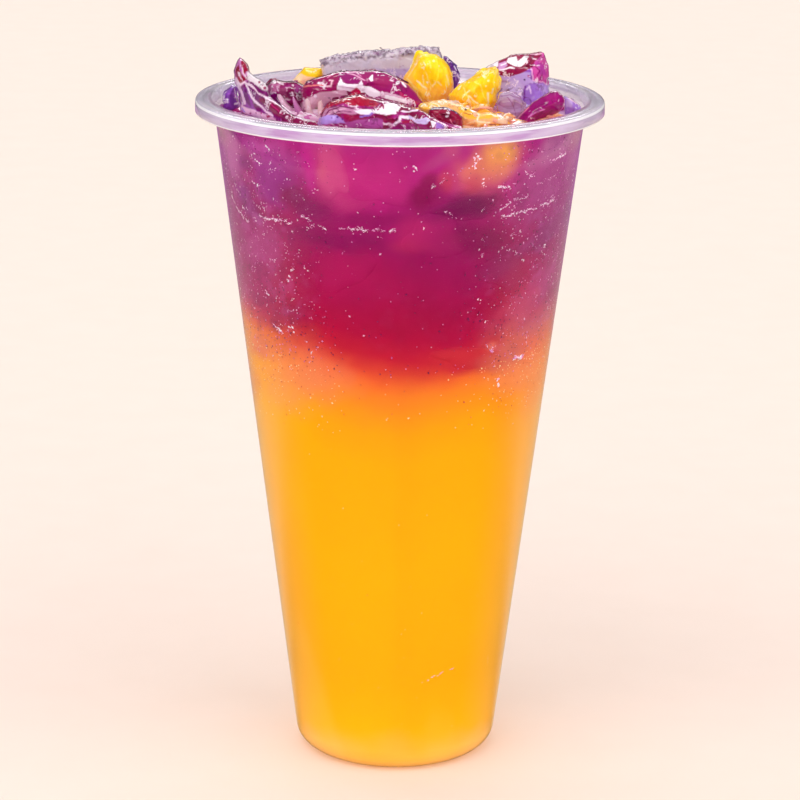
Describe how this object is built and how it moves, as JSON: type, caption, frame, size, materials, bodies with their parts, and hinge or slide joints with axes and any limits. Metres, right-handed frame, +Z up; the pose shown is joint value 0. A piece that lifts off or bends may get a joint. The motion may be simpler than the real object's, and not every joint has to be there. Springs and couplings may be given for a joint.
{
  "type": "pineapple lemonade",
  "caption": "Tall clear plastic cup of layered fruit lemonade, purple over yellow, with glossy ice shards and pineapple chunks heaped above the rim.",
  "frame": {"origin": "centre of the cup's foot, on the plane it stands on", "axes": "+Z up along the cup's axis, -Y towards the front, where the low ice arches lie, +X to the right, where the tall ice block and the dark ice lens stand"},
  "size_m": [0.095, 0.095, 0.1684],
  "materials": {
    "clear_cup": "clear, faintly milky moulded plastic, glossy",
    "yellow_lemonade": "cloudy liquid",
    "purple_lemonade": "cloudy liquid, violet at the top and crimson lower down",
    "purple_ice": "wet ice with purple syrup film",
    "clear_ice": "wet clear ice",
    "pineapple": "wet fibrous fruit flesh"
  },
  "bodies": {
    "root": {"cup": "clear_cup", "drink_lower": "yellow_lemonade", "drink_upper": "purple_lemonade", "ice_spike": "purple_ice", "ice_left_lump": "purple_ice", "ice_facetted_lump": "purple_ice", "ice_middle_arch": "purple_ice", "ice_front_arch": "purple_ice", "ice_small_arch": "purple_ice", "ice_back_slab": "clear_ice", "ice_back_shard": "purple_ice", "ice_right_block": "purple_ice", "ice_right_lens": "purple_ice", "ice_right_lump": "purple_ice", "ice_clear_chip": "clear_ice", "pineapple_tall": "pineapple", "pineapple_leaning": "pineapple", "pineapple_back": "pineapple", "pineapple_front": "pineapple"}
  },
  "joints": []
}
